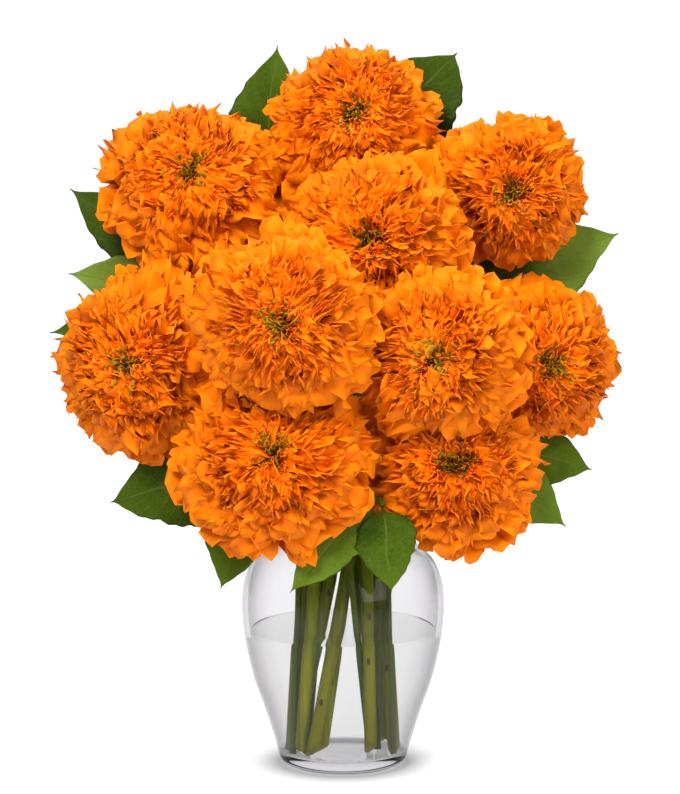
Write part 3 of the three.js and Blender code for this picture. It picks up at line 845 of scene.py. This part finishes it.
def upper_handles(foot, neck, end, end_direction):
    """The four points of the bend from the neck to a stem's end."""
    rising = (neck - foot).normalized()
    reach = (end - neck).length
    bend = min(BEND_REACH, reach * BEND_SHARE)
    return neck, neck + rising * reach * RISE_SHARE, end - end_direction * bend, end


def on_bend(handles, t):
    a, b, c, d = handles
    return a * (1 - t) ** 3 + b * 3 * t * (1 - t) ** 2 + c * 3 * t ** 2 * (1 - t) + d * t ** 3


def stem_line(foot, neck, handles, straight_points, bend_points):
    """Points straight from the foot to the neck and on along the bend."""
    rising = [foot.lerp(neck, t) for t in np.linspace(0, 1, straight_points)[:-1]]
    return rising + [on_bend(handles, t) for t in np.linspace(0, 1, bend_points)]


def stem_tube(name, line, radii, roundness):
    """A closed round stem along a line of points."""
    curve = bpy.data.curves.new(name, "CURVE")
    curve.dimensions = "3D"
    curve.bevel_depth = MM
    curve.bevel_resolution = roundness
    curve.use_fill_caps = True
    spline = curve.splines.new("POLY")
    spline.points.add(len(line) - 1)
    for point, place, radius in zip(spline.points, line, radii):
        point.co = (*(place * MM), 1.0)
        point.radius = radius
    pick(new_object(name, curve))
    bpy.ops.object.convert(target="MESH")
    tube = bpy.context.view_layer.objects.active
    edit_all()
    weld_outwards(FINE_WELD)
    return tube


def joint_share(height, joints):
    """1 at a stem's joint, falling smoothly to 0 at the joint's ends."""
    share = 0.0
    for joint in joints:
        near = max(0.0, 1 - abs(height - joint) / JOINT_HALF_LENGTH)
        share += near * near * (3 - 2 * near)
    return share


def slant_foot(stem, foot, lean):
    """Cuts the foot of a stem at a slant, as by a knife."""
    pick(stem)
    edit_all()
    normal = Vector((math.cos(lean) * CUT_SLOPE, math.sin(lean) * CUT_SLOPE, 1.0)).normalized()
    above = foot + Vector((0, 0, STEM_RADIUS * CUT_HEIGHT))
    bpy.ops.mesh.bisect(plane_co=above * MM, plane_no=normal, use_fill=True, clear_inner=True)
    bpy.ops.object.mode_set(mode="OBJECT")


def calyx_pattern():
    """The green cup under a bloom, upright, foot at the origin and 1 tall, ribbed, with sepals."""
    deselect_all()
    bpy.ops.mesh.primitive_circle_add(vertices=SEPALS * 4, radius=CALYX_OUTLINE[0][1],
                                      fill_type="NGON")
    cup = bpy.context.object
    cup.name = "calyx_pattern"
    edit_all()
    for (low, narrow), (high, wide) in zip(CALYX_OUTLINE, CALYX_OUTLINE[1:]):
        bpy.ops.mesh.extrude_region_move(TRANSFORM_OT_translate={"value": (0, 0, high - low)})
        growth = wide / narrow
        bpy.ops.transform.resize(value=(growth, growth, 1), center_override=(0, 0, high))
    bpy.ops.mesh.select_all(action="SELECT")
    bpy.ops.mesh.normals_make_consistent(inside=False)
    bpy.ops.object.mode_set(mode="OBJECT")
    points = points_of(cup.data)
    height = points[:, 2].copy()
    swing = np.cos(np.arctan2(points[:, 1], points[:, 0]) * SEPALS)
    rib = 1 + RIB_DEPTH * swing * np.clip(height * RIB_GROWTH, 0, 1)
    crown = np.clip((height - SEPAL_START) * SEPAL_GROWTH, 0, 1) * SEPAL_HEIGHT * swing
    points[:, :2] *= rib[:, None]
    points[:, 2] += np.where(height > SEPAL_EDGE, crown, 0)
    set_points(cup.data, points)
    return cup


def scar_pattern():
    deselect_all()
    bpy.ops.mesh.primitive_uv_sphere_add(segments=12, ring_count=8, radius=1)
    scar = bpy.context.object
    scar.name = "scar_pattern"
    return scar


def place_scar(scar, foot, neck, height, side):
    """A leaf scar on a stem's skin, at its height and side."""
    lean = math.radians(side)
    axis = foot.lerp(neck, (height - STEM_FOOT) / (NECK_HEIGHT - STEM_FOOT))
    skin = axis + about_axis(STEM_RADIUS, lean, 0)
    turn = Matrix.Rotation(lean + math.pi / 2, 4, "Z")
    oval = Matrix.Diagonal((*(Vector(SCAR_SIZE) * MM), 1))
    return copy_of(scar, Matrix.Translation(skin * MM) @ turn @ oval)


def make_stem(number, bloom, calyx, scar, finish):
    face = face_of(bloom)
    foot, neck = foot_and_neck(bloom)
    cup_top = Vector(bloom["centre"]) - face * (HEAD_BACK * bloom["radius"] + CUP_GAP)
    cup_foot = cup_top - face * CALYX_LENGTH
    handles = upper_handles(foot, neck, cup_foot, face)
    line = stem_line(foot, neck, handles, STRAIGHT_POINTS, BEND_POINTS)
    line.append(cup_foot + face * CUP_OVERLAP)
    joints = bloom["joints"]
    radii = [STEM_RADIUS + (JOINT_RADIUS - STEM_RADIUS) * joint_share(place.z, joints)
             for place in line]
    stem = stem_tube(f"stem_line_{number:02d}", line, radii, STEM_ROUNDNESS)
    slant_foot(stem, foot, number * CUT_TURN)
    heights = points_of(stem.data)[:, 2] / MM
    swelling = [joint_share(height, joints) for height in heights]
    mark(stem.data, joint=swelling, scar=0.0)
    members = [stem]
    for owner, height, side in SCARS:
        if owner == number:
            spot = place_scar(scar, foot, neck, height, side)
            mark(spot.data, scar=1.0, joint=0.0)
            members.append(spot)
    size = Matrix.Diagonal((CALYX_RADIUS * MM, CALYX_RADIUS * MM, CALYX_LENGTH * MM, 1))
    cup = copy_of(calyx, Matrix.Translation(cup_foot * MM) @ turned_to(face) @ size)
    mark(cup.data, scar=0.0, joint=0.0)
    whole = join_all(f"green_stem_{number:02d}", [*members, cup])
    mark(whole.data, tone=(number * STEM_TONE_STEP) % 1)
    hand_in(whole, "stem_green", finish, f"stem_{number:02d}")


# Petals
def petal_pattern(name, style, seed):
    """One petal on its back: foot at the origin, middle of the rim 1 away on +Y, inner side up."""
    random = np.random.default_rng(seed)
    deselect_all()
    bpy.ops.mesh.primitive_grid_add(x_subdivisions=style["columns"], y_subdivisions=style["rows"],
                                    size=2)
    petal = bpy.context.object
    petal.name = name
    grid = points_of(petal.data)
    across = grid[:, 0]
    along = 1 - (1 - (grid[:, 1] + 1) / 2) ** ROW_CROWDING
    opened = np.clip(along / FAN_FULL, 0, 1)
    fan = FAN_FOOT + FAN_SPREAD * np.sin(opened * math.pi / 2) ** FAN_POWER
    half = style["width"] / 2 * fan
    shift, second, third = random.uniform(0, 2 * math.pi, 3)
    waves = style["waves"] * random.uniform(*PETAL_VARIETY["waves"])
    swing = math.pi * waves * across + shift
    lift = np.sin(swing) + FINE_WAVE * np.sin(FINE_WAVE_RATE * swing + second)
    grown = along ** style["growth"]
    depth = style["ruffle"] * grown * random.uniform(*PETAL_VARIETY["ruffle"])
    out = depth * lift + style["curl"] * np.clip(along - CURL_START, 0, 1) ** 2 * CURL_GAIN
    out = out + LONG_WAVE * depth * np.sin(LONG_WAVE_RATE * along + third)
    notch = style["notch"] * (1 + np.sin(swing * NOTCH_RATE + third)) / 2
    rim = 1 - style["round"] * np.abs(across) ** RIM_POWER - notch
    reach = along * (1 + (rim - 1) * along)
    sideways = across * half + WAVE_OVERHANG * depth * np.cos(swing)
    arch = math.radians(style["arch"] * random.uniform(*PETAL_VARIETY["arch"]))
    heading = arch * (1 - 2 * reach)
    full = 2 * math.sin(arch)
    forwards = (math.sin(arch) - np.sin(heading)) / full - out * np.sin(heading)
    upwards = (np.cos(heading) - math.cos(arch)) / full + out * np.cos(heading)
    set_points(petal.data, np.stack([sideways, forwards, upwards], 1))
    mark(petal.data, along=along, across=across)
    thicken(petal, PETAL_THICKNESS)
    return petal


def patterns_of(kind, style):
    return [petal_pattern(f"{kind}_{i}", style, style["seed"] + i) for i in range(SHAPES_OF_A_KIND)]


def petal_placing(foot, rim, roll, widen):
    """Places a petal from its foot to its rim, with its inner side towards the bloom's axis."""
    length = (rim - foot).length
    run = (rim - foot) / length
    up = Vector((0, 0, 1))
    inner = (up - run * up.dot(run)).normalized()
    inner.rotate(Quaternion(run, roll))
    side = run.cross(inner)
    axes = Matrix((side * length * widen, run * length, inner * length)).transposed().to_4x4()
    return Matrix.Translation(foot) @ axes


def dome_height(share):
    return float(np.interp(share, *zip(*DOME)))


def petal_foot(share, angle):
    grown = share ** FOOT_POWER
    return about_axis(FOOT_NEAREST + FOOT_SPREAD * grown, angle, FOOT_TOP - FOOT_DROP * grown)


def bloom_place(bloom):
    """Where a bloom of radius 1 about the upright axis stands in the bouquet."""
    centre = Matrix.Translation(Vector(bloom["centre"]) * MM)
    return centre @ turned_to(face_of(bloom)) @ Matrix.Scale(bloom["radius"] * MM, 4)


def crumple(piece, number, bloom):
    """Sways a whole bloom or eye by soft chance waves, the same for both of one number."""
    random = np.random.default_rng(CRUMPLE_SEED + number)
    centre = np.array(bloom["centre"]) * MM
    radius = bloom["radius"] * MM
    shares = (points_of(piece.data) - centre) / radius
    moved = shares.copy()
    for length, reach in CRUMPLES:
        for _ in range(CRUMPLE_WAVES):
            run = random.normal(0, 1, 3)
            wavelength = length * random.uniform(*CRUMPLE_VARIETY)
            run *= 2 * math.pi / wavelength / np.linalg.norm(run)
            push = random.normal(0, 1, 3) * reach / 3
            moved += np.sin(shares @ run + random.uniform(0, 2 * math.pi))[:, None] * push
    set_points(piece.data, centre + moved * radius)


def corner_reach(number, angle):
    """How much farther than the others a petal reaches to fill a corner between blooms."""
    more = 0.0
    for owner, direction, extra in CORNERS:
        if owner == number:
            off = (math.degrees(angle) - direction + 180) % 360 - 180
            more += extra * math.exp(-(off / CORNER_WIDTH) ** 2)
    return more


def place_petal(number, place, shapes, ring, i, count, random):
    """One petal of a bloom, the i-th of its ring and the count-th of all."""
    _, ring_size, nearest, farthest = ring
    chance = PETAL_CHANCE
    share = farthest - (farthest - nearest) * ((i + random.uniform(*chance["place"])) / ring_size)
    share = min(1.0, max(nearest, share))
    angle = count * GOLDEN_ANGLE + random.normal(0, chance["turn"])
    reach = share * (1.0 + random.uniform(*chance["reach"]) + corner_reach(number, angle))
    height = dome_height(share) + random.uniform(*chance["height"])
    rim = about_axis(reach, angle, height)
    foot = petal_foot(share, angle + random.normal(0, chance["foot_turn"]))
    aside = Vector((-math.sin(angle), math.cos(angle), 0))
    foot += aside * random.uniform(*chance["twist"]) * share
    shape = shapes[random.integers(len(shapes))]
    roll = random.normal(0, chance["roll"])
    placing = petal_placing(foot, rim, roll, random.uniform(*chance["width"]))
    petal = copy_of(shape, place @ placing)
    mark(petal.data, tone=random.uniform(0, 1), zone=share)
    return petal


# The depth marked here is turned into the petals' painted shade by their finish
def mark_depth(bloom_mesh, place):
    """Marks how far each point lies under the dome of rims, 0.5 on it, as a share of the radius."""
    back = place.inverted()
    upright = points_of(bloom_mesh) @ np.array(back.to_3x3()).T + np.array(back.translation)
    surface = np.interp(np.hypot(upright[:, 0], upright[:, 1]), *zip(*DOME))
    mark(bloom_mesh, depth=np.clip(0.5 + surface - upright[:, 2], 0, 1))


def make_bloom(number, bloom, patterns, finish):
    random = np.random.default_rng(BLOOM_SEED + number)
    place = bloom_place(bloom)
    petals = []
    for ring in PETAL_RINGS:
        for i in range(ring[1]):
            count = len(petals) + 1
            petals.append(place_petal(number, place, patterns[ring[0]], ring, i, count, random))
    deselect_all()
    bpy.ops.mesh.primitive_uv_sphere_add(segments=20, ring_count=10, radius=1)
    core = bpy.context.object
    size = Matrix.Diagonal((*CORE_SIZE, 1))
    core.data.transform(place @ Matrix.Translation(CORE_CENTRE) @ size)
    # The core takes the darkest petal colour, as painted shade under the petals
    mark(core.data, along=0.0, across=0.0, tone=0.0, zone=0.0)
    whole = join_all(f"orange_bloom_{number:02d}", [*petals, core])
    mark_depth(whole.data, place)
    crumple(whole, number, bloom)
    hand_in(whole, "petal_orange", finish, f"bloom_{number:02d}")


def make_eye(number, bloom, patterns, finish):
    random = np.random.default_rng(EYE_SEED + number)
    chance = EYE_CHANCE
    place = bloom_place(bloom)
    florets = []
    for i in range(EYE_FLORETS):
        share = EYE_REACH * math.sqrt((i + 0.5) / EYE_FLORETS)
        angle = i * GOLDEN_ANGLE + random.normal(0, chance["turn"])
        height = dome_height(share) + EYE_RISE + random.uniform(*chance["height"])
        rim = about_axis(share, angle, height) + Vector(random.normal(0, chance["rim"], 3))
        foot = about_axis(share * EYE_FOOT_SHARE, angle, EYE_FOOT_HEIGHT)
        pattern = patterns[random.integers(len(patterns))]
        roll = random.normal(0, chance["roll"])
        placing = petal_placing(foot, rim, roll, random.uniform(*chance["width"]))
        floret = copy_of(pattern, place @ placing)
        edge_tone = EYE_EDGE_TONE * (share / EYE_REACH) ** 3
        mark(floret.data, tone=min(1.0, random.uniform(*chance["tone"]) + edge_tone))
        florets.append(floret)
    whole = join_all(f"olive_eye_{number:02d}", florets)
    crumple(whole, number, bloom)
    hand_in(whole, "eye_olive", finish, f"eye_{number:02d}")


# Leaves
def leaf_pattern(name, seed, swell, taper, bow):
    """One leaf, foot at the origin, tip 1 away on +Y, upper side up and at most 1 to each side."""
    random = np.random.default_rng(seed)
    deselect_all()
    bpy.ops.mesh.primitive_grid_add(x_subdivisions=LEAF_COLUMNS, y_subdivisions=LEAF_ROWS, size=2)
    leaf = bpy.context.object
    leaf.name = name
    grid = points_of(leaf.data)
    across, along = grid[:, 0], (grid[:, 1] + 1) / 2
    blade = np.clip((along - BLADE_START) / BLADE_LENGTH, 0, 1)
    oval = blade ** swell * (1 - blade) ** taper
    tip = TIP_HALF * np.clip((1 - along) / TIP_LENGTH, 0, 1) + POINT_HALF
    half = np.maximum(oval / oval.max(), np.where(along < STALK_END, STALK_HALF, tip))
    shift = random.uniform(0, 2 * math.pi)
    fine, fine_rate = FINE_TEETH
    coarse, coarse_rate = COARSE_TEETH
    teeth = fine * np.sin(along * fine_rate + shift)
    teeth += coarse * np.sin(along * coarse_rate + 2 * shift + np.sign(across))
    sway, sway_turns = LEAF_SWAY
    swayed = sway * np.sin(along * 2 * math.pi * sway_turns + 3 * shift) * half
    bowed = bow * np.sin(math.pi * along)
    sideways = across * half * (1 + teeth * across ** 4) + swayed + bowed
    wave, wave_turns = LEAF_WAVE
    rising = along * 2 * math.pi * wave_turns + shift + np.sign(across) * WAVE_OFFSET
    waved = wave * np.sin(rising) * across ** 2 * half
    folded = LEAF_FOLD * np.abs(across) ** FOLD_POWER * half
    arched = LEAF_ARCH * np.sin(math.pi * along)
    set_points(leaf.data, np.stack([sideways, along, folded + arched + waved], 1))
    mark(leaf.data, along=along, across=across)
    thicken(leaf, LEAF_THICKNESS)
    return leaf


def leaf_placing(base, tip, width, faces):
    """Places a leaf pattern from its base to its tip with its upper side facing a way."""
    run = Vector(tip) - base
    length = run.length
    run.normalize()
    side = run.cross(Vector(faces)).normalized()
    up = side.cross(run)
    axes = Matrix((side * width / 2, run * length, up * length)).transposed().to_4x4()
    return Matrix.Scale(MM, 4) @ Matrix.Translation(base) @ axes


def make_sprig(number, sprig, patterns, broad_pattern, finish):
    random = np.random.default_rng(SPRIG_SEED + number)
    foot, neck = foot_and_neck(sprig)
    end = Vector(sprig["end"])
    first_tip = Vector(sprig["leaves"][0][1])
    handles = upper_handles(foot, neck, end, (first_tip - end).normalized())
    line = stem_line(foot, neck, handles, SPRIG_STRAIGHT_POINTS, SPRIG_BEND_POINTS)
    radii = np.linspace(SPRIG_FOOT_RADIUS, SPRIG_END_RADIUS, len(line))
    stalk = stem_tube(f"sprig_line_{sprig['name']}", line, radii, SPRIG_ROUNDNESS)
    mark(stalk.data, along=0.5, across=0.5, tone=0.5, stalk=1.0)
    parts = [stalk]
    for at, tip, width, faces, tone in sprig["leaves"]:
        narrow = width < BROAD_WIDTH
        shape = patterns[random.integers(len(patterns))] if narrow else broad_pattern
        leaf = copy_of(shape, leaf_placing(on_bend(handles, at), tip, width, faces))
        mark(leaf.data, tone=tone, stalk=0.0)
        parts.append(leaf)
    whole = join_all(f"leafy_sprig_{sprig['name']}", parts)
    hand_in(whole, "leaf_green", finish, f"sprig_{sprig['name']}")


# Studio
def make_world():
    scene = bpy.context.scene
    scene.view_settings.view_transform = "Standard"
    world = bpy.data.worlds.new("white_studio")
    scene.world = world
    world.use_nodes = True
    tree = world.node_tree
    tree.nodes.clear()
    heading = add(tree, "TexCoord").outputs["Generated"]
    split = add(tree, "SeparateXYZ", {0: heading})
    sides = ramp(tree, calc(tree, "ABSOLUTE", split.outputs["X"]), SIDE_SHADES)
    front = spread(tree, split.outputs["Y"], *FRONT_TO_BACK)
    strength = times(tree, front, WORLD_STRENGTH)
    light = add(tree, "Background", {"Color": sides, "Strength": strength})
    add(tree, "OutputWorld", {"Surface": light.outputs[0]})


def paper_finish():
    finish, tree = new_finish("white_paper")
    distance = add(tree, "VectorMath", {0: object_place(tree)}, operation="LENGTH")
    outward = fade(tree, distance.outputs[1], *PAINTED_SHADOW_OUTER)
    inward = fade(tree, distance.outputs[1], *PAINTED_SHADOW_INNER)
    # Painted shadow in a ring round the vase's foot, darker colour and less glow
    painted_shadow = times(tree, times(tree, outward, outward), inward)
    place = add(tree, "SeparateXYZ", {0: object_place(tree)})
    sideways = calc(tree, "ABSOLUTE", place.outputs["X"])
    ahead = calc(tree, "ADD", place.outputs["Y"], WEDGE_POINT)
    aside = calc(tree, "DIVIDE", sideways, calc(tree, "MAXIMUM", ahead, WEDGE_NEAREST))
    in_wedge = fade(tree, aside, *WEDGE_EDGE)
    colour = blend(tree, painted_shadow, PAPER_WHITE, PAINTED_SHADOW_GREY)
    lit = calc(tree, "ADD", PAPER_GLOW, times(tree, in_wedge, WEDGE_GLOW))
    glow = minus(tree, lit, times(tree, painted_shadow, PAINTED_SHADOW_DIM))
    shader = add(tree, "BsdfPrincipled", {
        "Base Color": colour, "Roughness": 0.9, "Specular IOR Level": 0.0,
        "Emission Color": (1.0, 1.0, 1.0, 1.0), "Emission Strength": glow,
    })
    add(tree, "OutputMaterial", {"Surface": shader.outputs[0]})
    return finish


def make_floor():
    deselect_all()
    bpy.ops.mesh.primitive_circle_add(vertices=64, radius=FLOOR_RADIUS, fill_type="NGON",
                                      location=(0, 0, 0))
    floor = bpy.context.object
    floor.name = "studio_floor"
    floor.data.materials.append(paper_finish())


def make_lamps():
    """Area lamps, kept out of the reflections."""
    for name, place, size, power in LAMPS:
        lamp = bpy.data.lights.new(name, "AREA")
        lamp.size = size
        lamp.energy = power
        holder = new_object(name, lamp)
        holder.location = place
        aim = Vector(LAMP_AIM) - Vector(place)
        holder.rotation_euler = aim.to_track_quat("-Z", "Y").to_euler()
        holder.visible_glossy = False


def make_camera():
    target = Vector(VIEW_TARGET)
    tilt = math.radians(VIEW_DOWN)
    lens = bpy.data.cameras.new("photo_camera")
    lens.lens = VIEW_LENS
    lens.clip_end = 100
    camera = new_object("photo_camera", lens)
    camera.location = target + VIEW_DISTANCE * Vector((0, -math.cos(tilt), math.sin(tilt)))
    camera.rotation_euler = (target - camera.location).to_track_quat("-Z", "Y").to_euler()
    bpy.context.scene.camera = camera


make_world()
make_floor()
make_lamps()
make_camera()

make_vase(clear_finish("vase_glass", GLASS_IOR, GLASS_SHINE, GLASS_TINTS_AND_EDGE_SHADE, GLASS_DEPTH_SHADE))
make_water(clear_finish("clear_water", WATER_IOR, WATER_SHINE, WATER_TINTS_AND_EDGE_SHADE))

petal_orange = petal_finish()
eye_olive = eye_finish()
stem_green = stem_finish()
leaf_green = leaf_finish()

petal_patterns = {kind: patterns_of(f"{kind}_petal", style) for kind, style in PETALS.items()}
floret_patterns = patterns_of("floret", FLORET)
calyx = calyx_pattern()
scar = scar_pattern()
for bloom_number, one_bloom in enumerate(BLOOMS, 1):
    make_bloom(bloom_number, one_bloom, petal_patterns, petal_orange)
    make_eye(bloom_number, one_bloom, floret_patterns, eye_olive)
    make_stem(bloom_number, one_bloom, calyx, scar, stem_green)

leaf_patterns = [leaf_pattern(f"leaf_{i}", LEAF_SEED + i, **LEAF) for i in range(LEAF_SHAPES)]
broad_leaf = leaf_pattern("broad_leaf", BROAD_LEAF_SEED, **BROAD_LEAF)
for sprig_number, one_sprig in enumerate(SPRIGS, 1):
    make_sprig(sprig_number, one_sprig, leaf_patterns, broad_leaf, leaf_green)

put_away([pattern for group in petal_patterns.values() for pattern in group])
put_away([*floret_patterns, calyx, scar, *leaf_patterns, broad_leaf])
